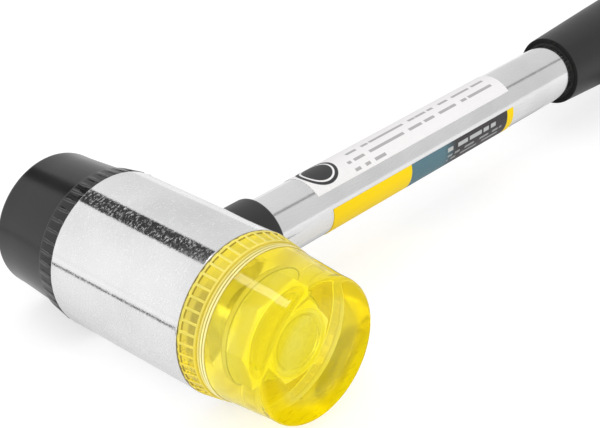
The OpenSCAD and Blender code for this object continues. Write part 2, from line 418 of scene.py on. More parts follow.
# Grip: a black rubber sleeve pushed over the end of the tube, with a dull cut end at its mouth.
# It swells for the palm, narrows to a waist and closes over the tube's end with a round butt.
grip_low, grip_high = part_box("grip")
grip_start = grip_low.y - head.y
grip_end = grip_high.y - head.y
grip_columns = 128
grip_mouth = tube_radius + 0.02 * mm
grip_mouth_edge = 0.5 * mm
grip_front = tube_radius + 1.75 * mm
grip_swell = tube_radius + 4 * mm
grip_swell_at = 60 * mm
grip_flare = 0.047
grip_waist = tube_radius + 3.3 * mm
grip_waist_at = 92 * mm
grip_butt = tube_radius + 4.7 * mm
grip_lip = 0.7 * mm
butt_round = 5 * mm
butt_wall = 3.5 * mm
arc_steps = 10
stretch_steps = 24
grip_colour = (0.0095, 0.0095, 0.0098, 1)
cut_depth = 0.5 * mm
cut_dark = grey(0.007)
cut_pale = grey(0.02)
cut_grain = 900
cut_rough = 0.9
cut_gloss = 0.1


def eased(first, last, length, slope, share):
    """Radius along a smooth stretch of the grip, with a slope at its start and none at its end."""
    return (first + (last - first) * (3 * share ** 2 - 2 * share ** 3)
            + slope * length * (share ** 3 - 2 * share ** 2 + share))


def main_shader(material):
    """The wire from a material's own Principled shader."""
    return Wire(material.node_tree, material.node_tree.nodes["Principled BSDF"].outputs[0])


def surface(material, shader):
    """Makes this shader a material's surface."""
    output = material.node_tree.nodes["Material Output"]
    material.node_tree.links.new(shader.socket, output.inputs["Surface"])


butt_at = grip_end - grip_start - butt_round
lip_radius = eased(grip_front, grip_swell, grip_swell_at, grip_flare, grip_lip / grip_swell_at)
grip_outline = [(grip_end - butt_wall, 0), (grip_end - butt_wall, grip_mouth),
                (grip_start + grip_mouth_edge, grip_mouth)]
for step in range(arc_steps, -1, -1):
    turn = pi / 2 * step / arc_steps
    grip_outline.append((grip_start + grip_lip * (1 - sin(turn)), lip_radius - grip_lip * (1 - cos(turn))))
stretches = [(grip_front, grip_swell, 0, grip_swell_at, grip_flare),
             (grip_swell, grip_waist, grip_swell_at, grip_waist_at, 0),
             (grip_waist, grip_butt, grip_waist_at, butt_at, 0)]
for first, last, begin, end, slope in stretches:
    for step in range(1, stretch_steps + 1):
        along = begin + (end - begin) * step / stretch_steps
        if along > grip_lip:
            radius = eased(first, last, end - begin, slope, step / stretch_steps)
            grip_outline.append((grip_start + along, radius))
for step in range(1, arc_steps + 1):
    turn = pi / 2 * step / arc_steps
    grip_outline.append((grip_start + butt_at + butt_round * sin(turn),
                         grip_butt - butt_round * (1 - cos(turn))))
grip_outline.append((grip_end, 0))
grip = turned("grip_sleeve", grip_outline, around_handle, grip_columns)
grip_rubber = black_plastic("grip_rubber_matt", grip_colour, rough=0.42, grain=1500, height=0.02 * mm,
                            rubbed=0.35)
satin = main_shader(grip_rubber)
place = satin.node("ShaderNodeTexCoord", out="Object")
along = place.split().beside("Y") - head.y
cut = along.rise(grip_start + cut_depth, grip_start + 0.5 * cut_depth)
dull = place.node("ShaderNodeBsdfPrincipled", {}, {
    "Base Color": place.noise(cut_grain, 3.0, 0.6).tint(cut_dark, cut_pale),
    "Roughness": cut_rough, "Specular IOR Level": cut_gloss})
surface(grip_rubber, cut.cover(satin, dull))
grip.data.materials.append(grip_rubber)
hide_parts("grip")
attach(grip, "hammer")

# Tube end plug: a dark plastic plug that closes the tube's far end inside the grip.
# It is never seen, and keeps its solid from the construction.
plug_colour = (0.05, 0.05, 0.052, 1)
plug_plastic = black_plastic("plug_plastic", plug_colour, rough=0.5, grain=1800, height=0.008 * mm,
                             rubbed=0.3)
refinish("tube_end_plug", plug_plastic)

# White sticker: a strip of coated paper stuck along the top of the tube.
# It has rows of plain grey bars and a plain dark spot with a ring in it.
sticker_thickness = 0.15 * mm
sticker_lift = 0.01 * mm
sticker_edge = 0.08 * mm
sticker_columns = 40
sticker_row = 1.5 * mm
white_start = 42 * mm
white_end = 117.5 * mm
white_from = radians(-74)
white_to = radians(46)
white_bars = [(-0.5 * mm, 56.5 * mm, 115.5 * mm), (2.5 * mm, 56.3 * mm, 114.3 * mm),
              (5.2 * mm, 56.6 * mm, 68 * mm)]
white_bar_height = 0.9 * mm
bar_blur = 0.08 * mm
bar_scale = 330
bar_shift = 9000
bar_grey = (0.42, 0.41, 0.41, 1)
spot_at = 48 * mm
spot_arc = -0.3 * mm
spot_radius = 5.4 * mm
spot_ring = 4.2 * mm
spot_line = 0.35 * mm
spot_dark = (0.035, 0.035, 0.037, 1)
paper_dim = (0.8, 0.785, 0.785, 1)
paper_white = (0.9, 0.885, 0.885, 1)
paper_rough = 0.42
paper_gloss = 0.4
paper_fibre = 900
paper_cloud = 60
paper_tooth = 0.004 * mm


def sticker(name, start, end, first, last):
    """A thin sheet bent round the tube, with a small rounding along its edges."""
    inner = tube_radius + sticker_lift
    outer = tube_radius + sticker_thickness
    middle = (inner + outer) / 2
    shoulder = outer - sticker_edge
    inset = sticker_edge / outer
    turns = [first + (last - first) * column / sticker_columns for column in range(sticker_columns + 1)]
    top = [(outer, min(max(turn, first + inset), last - inset)) for turn in turns]
    section = [(inner, turn) for turn in reversed(turns)] + [(shoulder, first)] + top + [(shoulder, last)]
    rows = round((end - start) / sticker_row)
    places = [start] + [start + (end - start) * row / rows for row in range(rows + 1)] + [end]
    rings = []
    for number, along in enumerate(places):
        closing = number in (0, len(places) - 1)
        rings.append([around_handle(along, middle if closing else radius, turn) for radius, turn in section])
    shape = bmesh.new()
    lay_rings(shape, rings)
    return piece(name, shape)


def on_tube(place):
    """Wires for the way along the handle, and round the tube from its top."""
    across = place.split()
    turn = across.maths("ARCTAN2", across - head.x, across.beside("Z") - head.z)
    return across.beside("Y") - head.y, turn * (tube_radius + sticker_thickness)


def bar_row(along, arc, row, start, end, height):
    """A row of plain bars of uneven length."""
    line = abs(arc - row).rise(height / 2 + bar_blur, height / 2 - bar_blur)
    inside = along.rise(start - bar_blur, start + bar_blur) * along.rise(end + bar_blur, end - bar_blur)
    uneven = along.node("ShaderNodeTexNoise", {"noise_dimensions": "1D"},
                        {"W": along * bar_scale + row * bar_shift, "Scale": 1.0, "Detail": 0.0})
    return line * inside * uneven.rise(0.38, 0.42)


white_sticker = sticker("white_sticker", white_start, white_end, white_from, white_to)
white_paper, place = finish("white_paper", {"Specular IOR Level": paper_gloss})
fibre = place.noise(paper_fibre, 4.0, 0.6)
cloud = place.noise(paper_cloud, 2.0)
along, arc = on_tube(place)
bars = sum(bar_row(along, arc, *row, white_bar_height) for row in white_bars)
from_spot = along.maths("SQRT", (along - spot_at) * (along - spot_at) + (arc - spot_arc) * (arc - spot_arc))
ring = abs(from_spot - spot_ring).rise(spot_line, 0.5 * spot_line)
spot = from_spot.rise(spot_radius + bar_blur, spot_radius - bar_blur) * (1 - ring)
paper = (0.6 * fibre + 0.4 * cloud).tint(paper_dim, paper_white)
feed(white_paper, {
    "Base Color": spot.tint(bars.tint(paper, bar_grey), spot_dark),
    "Roughness": paper_rough + 0.15 * fibre,
    "Normal": fibre.bump(paper_tooth),
})
white_sticker.data.materials.append(white_paper)
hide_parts("label_white")
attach(white_sticker, "hammer")

# Coloured sticker: a strip of film stuck along the tube's lower side, in plain blocks of colour.
# A long yellow block is followed by teal that darkens to near black with pale bars, and a narrow yellow end.
band_start = 45 * mm
band_end = 117 * mm
band_from = radians(78)
band_to = radians(190)
teal_from = 74.3 * mm
dark_from = 86.5 * mm
dark_to = 93 * mm
last_yellow = 114.3 * mm
block_blur = 0.1 * mm
band_yellow = (1.0, 0.7, 0.002, 1)
band_teal = (0.105, 0.2, 0.24, 1)
band_dark = (0.06, 0.055, 0.058, 1)
band_pale = (0.5, 0.51, 0.51, 1)
band_bars = [(12.9 * mm, 88.8 * mm, 110 * mm, 1.2 * mm, 1.0), (14.9 * mm, 89 * mm, 112 * mm, 0.7 * mm, 0.6),
             (16.4 * mm, 89 * mm, 112 * mm, 0.7 * mm, 0.6)]
film_speck = (0.9, 0.88, 0.85, 1)
film_specks = 0.02
film_rough = 0.32
film_gloss = 0.06
film_grain = 2400
film_cloud = 300
film_tooth = 0.002 * mm
band_sticker = sticker("band_sticker", band_start, band_end, band_from, band_to)
band_film, place = finish("band_film", {"Specular IOR Level": film_gloss})
along, arc = on_tube(place)
grain = place.noise(film_grain, 1.0)
bars = sum(strength * bar_row(along, arc, *row) for *row, strength in band_bars)
cold = bars.tint(along.rise(dark_from, dark_to).tint(band_teal, band_dark), band_pale)
middle = along.rise(teal_from - block_blur, teal_from + block_blur).tint(band_yellow, cold)
film = along.rise(last_yellow - block_blur, last_yellow + block_blur).tint(middle, band_yellow)
feed(band_film, {
    "Base Color": (grain.rise(0.3, 0.7) * film_specks).tint(film, film_speck),
    "Roughness": film_rough + 0.12 * place.noise(film_cloud, 3.0),
    "Normal": grain.bump(film_tooth),
})
band_sticker.data.materials.append(band_film)
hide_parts("label_band")
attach(band_sticker, "hammer")

# Faces: two moulded plastic caps on the barrel's ends, the hard one clear yellow and the soft one black.
# Each has a ring of shallow pockets for the fingers and a tapered body with a rounded striking edge.
# The yellow one has closed pockets and three fine beads, the black one open flutes and a plain shoulder.
face_length = 23.7 * mm
face_gap = 0.03 * mm
face_collar_length = 5.1 * mm
face_collar_radius = 19.6 * mm
face_collar_front = 18.8 * mm
face_back_ring = 14 * mm
face_back_round = 0.2 * mm
shoulder_round = 0.18 * mm
body_root = 18.15 * mm
body_rows = 8
strike_radius = 17 * mm
strike_round = 1.2 * mm
strike_steps = 10
bead_count = 3
bead_width = 0.8 * mm
bead_height = 0.3 * mm
bead_steps = 8
pocket_count = 45
pocket_depth = 0.3 * mm
pocket_from = 0.9 * mm
pocket_to = 4.7 * mm
pocket_rib = 0.6 * mm
pocket_draft = 0.12 * mm
flute_depth = 0.4 * mm
rib_round = 0.08 * mm
rib_sunk = 0.2
seat_radius = 9.45 * mm
seat_depth = 2.2 * mm
seat_rim = 0.3 * mm


def on_end(side):
    """Places points about one end of the head, counted outwards. Side -1 is turned half round."""
    def place(along, radius, turn):
        return head + Vector((side * (barrel_end + along), side * radius * cos(turn), radius * sin(turn)))
    return place


def close_up(shape, material):
    """Ends a Geometry Nodes tree: real, merged geometry with this material."""
    same_place = 0.002 * mm
    solid = shape.node("GeometryNodeRealizeInstances", {}, {0: shape})
    joined = shape.node("GeometryNodeMergeByDistance", {}, {"Geometry": solid, "Distance": same_place})
    dressed = shape.node("GeometryNodeSetMaterial", {}, {"Geometry": joined, "Material": material})
    dressed.node("NodeGroupOutput", {}, {0: dressed})


def repeat_round(made, count, axis_point, material, crease=40):
    """Repeats one sector of a piece round the head's axis with Geometry Nodes and joins the sectors."""
    tree = bpy.data.node_groups.new("repeat_round", "GeometryNodeTree")
    tree.interface.new_socket("Geometry", in_out="INPUT", socket_type="NodeSocketGeometry")
    count_socket = tree.interface.new_socket("Count", in_out="INPUT", socket_type="NodeSocketInt")
    axis_socket = tree.interface.new_socket("Axis Point", in_out="INPUT", socket_type="NodeSocketVector")
    tree.interface.new_socket("Geometry", in_out="OUTPUT", socket_type="NodeSocketGeometry")
    sector = Wire(tree).node("NodeGroupInput", out="Geometry")
    whole = sector.node("GeometryNodeGeometryToInstance", {}, {0: sector})
    copies = whole.node("GeometryNodeDuplicateElements", {"domain": "INSTANCE"},
                        {"Geometry": whole, "Amount": sector.beside("Count")})
    turn = copies.beside("Duplicate Index") * tau / sector.beside("Count")
    spin = copies.node("ShaderNodeCombineXYZ", {}, {0: turn})
    ring = copies.node("GeometryNodeRotateInstances", {},
                       {"Instances": copies, "Rotation": spin, "Pivot Point": sector.beside("Axis Point"),
                        "Local Space": False})
    close_up(ring, material)
    change = made.modifiers.new("repeat_round", "NODES")
    change.node_group = tree
    change[count_socket.identifier] = count
    change[axis_socket.identifier] = axis_point
    settle(made, crease)
    bpy.data.node_groups.remove(tree)


def collar_line(along):
    """Radius of the face's collar at this place."""
    return face_collar_radius + (face_collar_front - face_collar_radius) * along / face_collar_length


def flute_line(along):
    """Depth of the black face's flutes at this place, from the barrel to their run-out."""
    return flute_depth * (1 - along / pocket_to)


def sector_columns():
    """Columns (turn, share of the pocket's depth) over one sector of a face, from rib to rib."""
    half_pocket = pi / pocket_count - pocket_rib / 2 / face_collar_front
    half_floor = half_pocket - pocket_draft / face_collar_front
    half_crest = half_pocket + rib_round / face_collar_front
    half = [(pi / pocket_count, 0), (half_crest, 0), (half_pocket, rib_sunk), (half_floor, 1),
            (half_floor / 3, 1)]
    return [(-turn, share) for turn, share in half] + half[::-1]


def face_rows(beads):
    """Rows (along, radius, depth of the pocket) of a face, from its back to its front."""
    rows = [(seat_depth, radius, 0) for radius in (0, 0.6 * seat_radius, seat_radius)]
    rows += [(face_gap, radius, 0) for radius in (seat_radius, seat_radius + seat_rim, face_back_ring)]
    back_corners = [(face_gap, face_collar_radius, face_back_round),
                    (face_collar_length, face_collar_front, 0),
                    (face_collar_length, face_back_ring, 0), (face_gap, face_back_ring, 0)]
    back_edge = softened(back_corners)[:-3]
    rows += [(along, radius, 0 if beads else flute_depth) for along, radius in back_edge]
    middle = (pocket_from + pocket_to) / 2
    if beads:
        depths = [(pocket_from, 0), (pocket_from + pocket_draft, pocket_depth), (middle, pocket_depth),
                  (pocket_to - pocket_draft, pocket_depth), (pocket_to, 0)]
    else:
        depths = [(along, flute_line(along)) for along in (pocket_from, middle, pocket_to)]
    rows += [(along, collar_line(along), depth) for along, depth in depths]
    shoulder_corners = [(pocket_to, collar_line(pocket_to), 0),
                        (face_collar_length, face_collar_front, shoulder_round),
                        (face_collar_length, body_root, 0)]
    rows += [(along, radius, 0) for along, radius in softened(shoulder_corners)[1:]]
    for step in range(1, beads * bead_steps + 1):
        wave = abs(sin(pi * step / bead_steps))
        rows.append((face_collar_length + bead_width * step / bead_steps, body_root + bead_height * wave, 0))
    body_from = rows[-1][0]
    body_to = face_length - strike_round * 1.6
    for step in range(1, body_rows):
        share = step / body_rows
        along = body_from + (body_to - body_from) * share
        rows.append((along, body_root + (strike_radius - body_root) * share, 0))
    strike_corners = [(body_from, body_root, 0), (face_length, strike_radius, strike_round),
                      (face_length, 0, 0)]
    rows += [(along, radius, 0) for along, radius in softened(strike_corners, strike_steps)[1:-1]]
    rows += [(face_length, strike_radius * share, 0) for share in (0.85, 0.6, 0.3, 0)]
    return rows


def face(name, side, beads, material):
    """A whole face, made of its sectors. A face without beads has open flutes for pockets."""
    place = on_end(side)
    columns = sector_columns()
    shape = bmesh.new()
    lay_rings(shape, [[place(along, radius - depth * share, turn) for turn, share in columns]
                      for along, radius, depth in face_rows(beads)], closed=False)
    made = piece(name, shape)
    repeat_round(made, pocket_count, head, material)
    shape = bmesh.new()
    shape.from_mesh(made.data)
    bmesh.ops.recalc_face_normals(shape, faces=shape.faces)
    shape.to_mesh(made.data)
    shape.free()
    return made


def on_head(place):
    """Wires for the way outwards from the barrel's end, and for the distance from the head's axis."""
    along = place.split()
    across = along.beside("Y") - head.y
    high = along.beside("Z") - head.z
    away = across.maths("SQRT", across * across + high * high)
    return abs(along - head.x) - barrel_end, away


# Yellow face: a hard, clear plastic, moulded round the head of its bolt.
# Its tint is warmer in swirls and round the striking end, and over the top a painted shade makes it darker
# and warmer.
plastic_clear = 0.75
plastic_bend = 1.28
plastic_pale = (1.0, 0.9, 0.12, 1)
plastic_amber = (1.0, 0.84, 0.008, 1)
plastic_top_shade = (0.9, 0.745, 0.015, 1)
plastic_rough = 0.03
plastic_smeared = 0.06
plastic_tooth = 0.012 * mm
smear_scale = 140
dust_scale = 1800
swirl_scale = 80
swirl_strength = 0.7
top_heights = (6 * mm, 15 * mm)
top_reach = (17 * mm, 10 * mm)
warm_reach = (13 * mm, 21 * mm)
warm_ring = (10 * mm, 14 * mm)
clear_yellow, place = finish("clear_yellow", {"Transmission Weight": plastic_clear, "IOR": plastic_bend})
along, away = on_head(place)
high = place.split().beside("Z") - head.z
smear = place.noise(smear_scale, 3.0, 0.6)
dust = place.noise(dust_scale, 2.0)
swirl = place.noise(swirl_scale, 2.0, 0.5).rise(0.45, 0.62)
# Painted shade: the body's top is tinted darker.
top_shade_mask = high.rise(*top_heights) * along.rise(*top_reach)
warm = along.rise(*warm_reach) * away.rise(*warm_ring)
amber = warm.most(swirl_strength * swirl)
feed(clear_yellow, {
    "Base Color": top_shade_mask.tint(amber.tint(plastic_pale, plastic_amber), plastic_top_shade),
    "Roughness": smear.rise(0.45, 0.8) * plastic_smeared + plastic_rough,
    "Normal": (0.7 * smear + 0.2 * dust).bump(plastic_tooth),
})

# The collar has a cloudy skin. Its pockets are painted lighter on top as a painted highlight, carry painted
# shade that is strongest at the side, and painted shade strokes below.
rib_pale = (0.8, 0.69, 0.14, 1)
rib_top_highlight = (0.95, 0.84, 0.2, 1)
pocket_yellow = (0.72, 0.58, 0.09, 1)
pocket_top_highlight = (0.9, 0.73, 0.05, 1)
pocket_amber = (0.88, 0.67, 0.01, 1)
pocket_shade_brown = (0.3, 0.235, 0.05, 1)
shade_brown = (0.26, 0.19, 0.03, 1)
seam_shadow_brown = (0.12, 0.09, 0.03, 1)
bead_highlight = (1.0, 0.95, 0.5, 1)
over_heights = (11.5 * mm, 17 * mm)
under_heights = (7 * mm, -3 * mm)
mask_blur = 0.1 * mm
bead_blur = 0.05 * mm
pocket_shade_reach = (2.2 * mm, 3.1 * mm)
back_line = (pocket_from + 0.45 * mm, pocket_from + 0.25 * mm)
shade_patch_scale = 900
shade_stroke_scale = 1700
jag_scale = 700
jag_side = 0.6 * mm
jag_under = 0.9 * mm
seam_under = 0.3 * mm
seam_reach = (0.55 * mm, 0.3 * mm)
skin_back = (0.05 * mm, 0.1 * mm)
skin_front = (7.6 * mm, 7.4 * mm)
skin_ring = (17.7 * mm, 17.9 * mm)
skin_cloudy = 0.65
skin_cloudy_under = 0.2
skin_cloudy_seam = 0.95
skin_rough = 0.2
skin_bend = 1.45
skin_tooth = 0.01 * mm
over = high.rise(*over_heights)
under = high.rise(*under_heights)
sunk = ((collar_line(along) - away) / pocket_depth).rise(0.15, 0.7)
between = along.rise(pocket_from - mask_blur, pocket_from) * along.rise(pocket_to + mask_blur, pocket_to)
pocket = sunk * between
# Painted shade in the pockets' inner halves, in uneven patches, strongest at the side.
shade_patches = 0.55 + 0.6 * place.noise(shade_patch_scale, 2.0)
pocket_shade = pocket * along.rise(*pocket_shade_reach) * shade_patches * (1 - 0.8 * over) * (1 - 0.7 * under)
# Painted shade: dark brown strokes in the pockets on the low side.
shade_strokes = 0.8 * pocket * under * place.noise(shade_stroke_scale, 2.0).rise(0.52, 0.6)
# Painted shade along the pockets' back walls.
back_edge = pocket * along.rise(*back_line)
# Ribs and pockets get a painted highlight on top and turn more amber on the low side.
ribs = over.tint((0.7 * under).tint(rib_pale, pocket_amber), rib_top_highlight)
hollows = over.tint(under.tint(pocket_yellow, pocket_amber), pocket_top_highlight)
hollowed = pocket_shade.tint(pocket.tint(ribs, hollows), pocket_shade_brown)
with_shade = shade_strokes.tint(back_edge.tint(hollowed, shade_brown), shade_brown)
# Painted highlights on the beads' crests and painted shade in their valleys, stronger further out.
wave = along.maths("PINGPONG", (along - face_collar_length) / bead_width, 0.5) * 2
outward = along.rise(face_collar_length, face_collar_length + 2 * bead_width)
lit_crest = outward.tint(rib_pale, bead_highlight)
bead_valley_shade = outward.tint(pocket_yellow, shade_brown)
beaded = along.rise(face_collar_length - bead_blur, face_collar_length + bead_blur)
lined = beaded.tint(with_shade, wave.rise(0.1, 0.5).tint(bead_valley_shade, lit_crest))
# Painted shadow along the seam by the barrel, jagged and wider on the low side.
jagged = (jag_side + jag_under * under) * (place.noise(jag_scale, 2.0) - 0.5)
seam_shadow = (along + jagged - seam_under * under).rise(*seam_reach)
cloudy = place.node("ShaderNodeBsdfPrincipled", {}, {
    "Base Color": seam_shadow.tint(lined, seam_shadow_brown), "Roughness": skin_rough, "IOR": skin_bend,
    "Normal": dust.bump(skin_tooth)})
skin = along.rise(*skin_back) * along.rise(*skin_front) * away.rise(*skin_ring)
inside = place.node("ShaderNodeNewGeometry", out="Backfacing")
outside = 1 - inside
skinned = (skin_cloudy_seam * seam_shadow).most(skin_cloudy + skin_cloudy_under * under) * skin * outside
yellow_shader = skinned.cover(main_shader(clear_yellow), cloudy)

# The low part of the striking end is a little milky and scuffed. Seen from inside, the collar glows with
# painted light.
strike_amber = (1.0, 0.75, 0.001, 1)
strike_scuff = (0.66, 0.46, 0.001, 1)
strike_milky = 0.38
strike_rough = 0.5
strike_reach = (22.4 * mm, 23.2 * mm)
strike_ring = (9.5 * mm, 13.5 * mm)
strike_heights = (4 * mm, -9 * mm)
scuff_turn = radians(50)
scuff_stretch = (1, 0.35, 2.2)
scuff_scale = 900
inner_glow = (0.76, 0.66, 0.3, 1)
inner_glow_strength = 0.6
scuffed = place.node("ShaderNodeMapping", {"vector_type": "POINT"},
                     {"Vector": place, "Rotation": (scuff_turn, 0, 0), "Scale": scuff_stretch})
scuffs = scuffed.noise(scuff_scale, 4.0, 0.7).rise(0.54, 0.68)
worn_end = along.rise(*strike_reach) * away.rise(*strike_ring) * high.rise(*strike_heights)
milky = place.node("ShaderNodeBsdfPrincipled", {}, {
    "Base Color": scuffs.tint(strike_amber, strike_scuff), "Roughness": strike_rough,
    "Specular IOR Level": 0.0})
yellow_shader = (strike_milky * worn_end * outside).cover(yellow_shader, milky)
# Painted light: the inside of the collar glows, standing in for light scattered through it.
inner_glow_shader = place.node("ShaderNodeBsdfPrincipled", {}, {
    "Base Color": grey(0), "Specular IOR Level": 0.0,
    "Emission Color": inner_glow, "Emission Strength": 1.0})
yellow_shader = (inner_glow_strength * skin * inside).cover(yellow_shader, inner_glow_shader)
surface(clear_yellow, yellow_shader)
yellow_face = face("yellow_cap", 1, bead_count, clear_yellow)
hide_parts("yellow_face")
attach(yellow_face, "yellow_end")

# Black face: a softer black plastic, moulded round its bolt in the same way.
# It is smooth and slightly shiny, with a painted highlight on the crests of its flutes and along its
# shoulder, and painted shade on the flute floors.
moulded_black = (0.012, 0.012, 0.0122, 1)
flute_shade_black = (0.005, 0.005, 0.0052, 1)
highlight_grey = (0.11, 0.11, 0.112, 1)
black_rough = 0.22
black_grain = 2600
black_cloud = 120
black_tooth = 0.004 * mm
flute_end = (pocket_to + 0.1 * mm, pocket_to - 0.6 * mm)
shoulder_start = (face_collar_length - 0.3 * mm, face_collar_length - 0.1 * mm)
shoulder_end = (face_collar_length + 0.15 * mm, face_collar_length + 0.05 * mm)
face_black, place = finish("face_black", {"Specular IOR Level": 0.5})
along, away = on_head(place)
fine = place.noise(black_grain, 2.0, 0.6)
cloud = place.noise(black_cloud, 3.0)
sunk = (collar_line(along) - away) / flute_line(along)
on_collar = along.rise(*flute_end)
lit_crest = sunk.rise(0.02, 0.1) * sunk.rise(0.75, 0.4) * on_collar
# Painted shade on the flute floors.
flute_floor_shade = sunk.rise(0.75, 0.95) * on_collar
shoulder = along.rise(*shoulder_start) * along.rise(*shoulder_end)
# Painted highlight on the flute crests and along the shoulder, uneven in clouds.
wear_and_highlight = lit_crest.most(0.6 * shoulder) * (0.4 + 0.8 * cloud)
feed(face_black, {
    "Base Color": wear_and_highlight.tint(flute_floor_shade.tint(moulded_black, flute_shade_black), highlight_grey),
    "Roughness": black_rough + 0.12 * (cloud - 0.5),
    "Normal": fine.bump(black_tooth),
})
black_face = face("black_cap", -1, 0, face_black)
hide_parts("black_face")
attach(black_face, "black_end")

# Face bolts: zinc-plated steel hexagon flange bolts, moulded into the faces by their heads.
# Their threads stick out behind and screw into the barrel.
bolt_flats = 17 * mm
bolt_sides = 6
bolt_front = 13.5 * mm
bolt_back = 6.7 * mm
bolt_radius = 5 * mm
bolt_chamfer = 0.96 * bolt_flats / 2
bolt_front_ring = bolt_chamfer - 0.2 * mm
bolt_front_drop = 0.03 * mm
bolt_turn = radians(4)
bolt_neck = 2.2 * mm
bolt_fillet = 0.4 * mm
bolt_fillet_middle = 0.12 * mm
bolt_tip = -11.3 * mm
bolt_columns = 144
bolt_crease = 30
dish_radius = 6.2 * mm
dish_rim = 6.9 * mm
dish_depth = 0.7 * mm
dish_floor_round = 0.4 * mm
dish_rim_round = 0.3 * mm
flange_radius = 10.2 * mm
flange_thickness = 1.5 * mm
flange_edge = 0.1 * mm
flange_back_ring = 7 * mm
thread_pitch = 1.5 * mm
thread_groove = 0.9 * mm
thread_rows = 8
flank_steepness = 2.7
thread_run_out = 0.8
tip_radius = 3.7 * mm


def bolt_head_sector(name, side):
    """One sixth of a bolt's head and neck, from the middle of its front to the start of the thread."""
    place = on_end(side)
    count = bolt_columns // bolt_sides
    turns = [bolt_turn + tau / bolt_sides * column / count for column in range(count + 1)]
    edges = [bolt_flats / 2 / cos(turn - bolt_turn - pi / bolt_sides) for turn in turns]
    dish_floor = bolt_front - dish_depth
    front = softened([(dish_floor, 0, 0), (dish_floor, dish_radius, dish_floor_round),
                      (bolt_front, dish_rim, dish_rim_round), (bolt_front, bolt_front_ring, 0),
                      (bolt_front - bolt_front_drop, bolt_chamfer, 0)])
    flange_front = bolt_back + flange_thickness
    flange_inset = flange_radius - flange_edge
    back = [(flange_front, flange_inset), (flange_front - flange_edge, flange_radius),
            (bolt_back + flange_edge, flange_radius), (bolt_back, flange_inset),
            (bolt_back, flange_back_ring), (bolt_back, bolt_radius + bolt_fillet),
            (bolt_back - bolt_fillet_middle, bolt_radius + bolt_fillet_middle),
            (bolt_back - bolt_fillet, bolt_radius), (bolt_neck, bolt_radius)]
    rings = [[point] * len(turns) for point in front]
    rings.append([(bolt_front - (edge - bolt_chamfer) * tan(pi / 6), edge) for edge in edges])
    rings.append([(flange_front, edge) for edge in edges])
    rings += [[point] * len(turns) for point in back]
    shape = bmesh.new()
    lay_rings(shape, [[place(along, radius, turn) for (along, radius), turn in zip(ring, turns)]
                      for ring in rings], closed=False)
    return piece(name, shape, bolt_crease)


def cut_thread(made, side, material):
    """Winds a right-handed thread from the bolt's neck to its tip with Geometry Nodes."""
    length = bolt_neck - bolt_tip
    turns = round(length / thread_pitch + 1.5)
    rows = turns * thread_rows + 2
    tree = bpy.data.node_groups.new("cut_thread", "GeometryNodeTree")
    sizes = {"Pitch": thread_pitch, "Radius": bolt_radius, "Groove": thread_groove, "Length": length,
             "Tip": tip_radius}
    sockets = {name: tree.interface.new_socket(name, in_out="INPUT", socket_type="NodeSocketFloat")
               for name in sizes}
    tree.interface.new_socket("Geometry", in_out="OUTPUT", socket_type="NodeSocketGeometry")
    given = Wire(tree).node("NodeGroupInput", out="Pitch")
    pitch, radius, groove, length_wire, tip = (given.beside(name) for name in sizes)
    grid = given.node("GeometryNodeMeshGrid", {}, {"Size X": rows - 1, "Size Y": 1.0,
                                                   "Vertices X": rows, "Vertices Y": bolt_columns + 1})
    spot = given.node("GeometryNodeInputPosition").split()
    row = spot + (rows - 1) / 2
    share = spot.beside("Y") + 0.5
    wound = (row / thread_rows - 1 + share) * pitch
    down = wound.most(0.0).least(length_wire)
    ridge = row.maths("PINGPONG", row / thread_rows, 0.5) * flank_steepness
    depth = (1 - ridge.least(1.0)) * groove
    fade = (down / (thread_run_out * pitch)).least(1.0)
    outside = (radius - depth * fade).least(tip + length_wire - down)
    closing = row.maths("LESS_THAN", row, rows - 1.5)
    wide = outside * closing
    turn = share * tau + bolt_turn
    across = wide * turn.maths("COSINE", turn) * side
    high = wide * turn.maths("SINE", turn)
    far = (barrel_end + bolt_neck - down) * side
    spread = given.node("ShaderNodeCombineXYZ", {}, {0: far + head.x, 1: across + head.y, 2: high + head.z})
    wound_grid = grid.node("GeometryNodeSetPosition", {}, {"Geometry": grid, "Position": spread})
    close_up(wound_grid, material)
    change = made.modifiers.new("cut_thread", "NODES")
    change.node_group = tree
    for name, socket in sockets.items():
        change[socket.identifier] = sizes[name]
    settle(made)
    bpy.data.node_groups.remove(tree)


def bolt(name, side, material):
    """A whole bolt: its head and neck, joined to its thread."""
    made = bolt_head_sector(name, side)
    repeat_round(made, bolt_sides, head, material, bolt_crease)
    thread = put_in_scene(name + "_thread", bpy.data.meshes.new(name + "_thread"))
    cut_thread(thread, side, material)
    shape = bmesh.new()
    shape.from_mesh(made.data)
    shape.from_mesh(thread.data)
    bpy.data.objects.remove(thread)
    bpy.data.objects.remove(made)
    whole = piece(name, shape, bolt_crease)
    whole.data.materials.append(material)
    return whole


zinc_dim = (0.66, 0.66, 0.6, 1)
zinc_tint = (0.74, 0.74, 0.69, 1)
zinc_rim = (0.8, 0.8, 0.77, 1)
zinc_ring_highlight = (0.9, 0.9, 0.86, 1)
zinc_corner_highlight = (0.95, 0.95, 0.92, 1)
zinc_edge_shade = (0.3, 0.3, 0.27, 1)
zinc_rough = 0.16
zinc_specks = 1500
zinc_tooth = 0.006 * mm
line_start = (7.95 * mm, 8.05 * mm)
line_end = (8.35 * mm, 8.25 * mm)
corner_ring = (8.25 * mm, 8.4 * mm)
corner_reach = (bolt_front - 1.1 * mm, bolt_front - 0.9 * mm)
flange_shade_reach = (flange_thickness / 2 - 0.3 * mm, flange_thickness / 2)
flange_shade_ring = (flange_radius - 0.35 * mm, flange_radius - 0.15 * mm)
bolt_zinc, place = finish("bolt_zinc", {})
along, away = on_head(place)
specks = place.noise(zinc_specks, 3.0, 0.6)
zinc = specks.rise(0.4, 0.6).tint(zinc_dim, zinc_tint)
rim = away.rise(dish_radius, dish_rim).tint(zinc, zinc_rim)
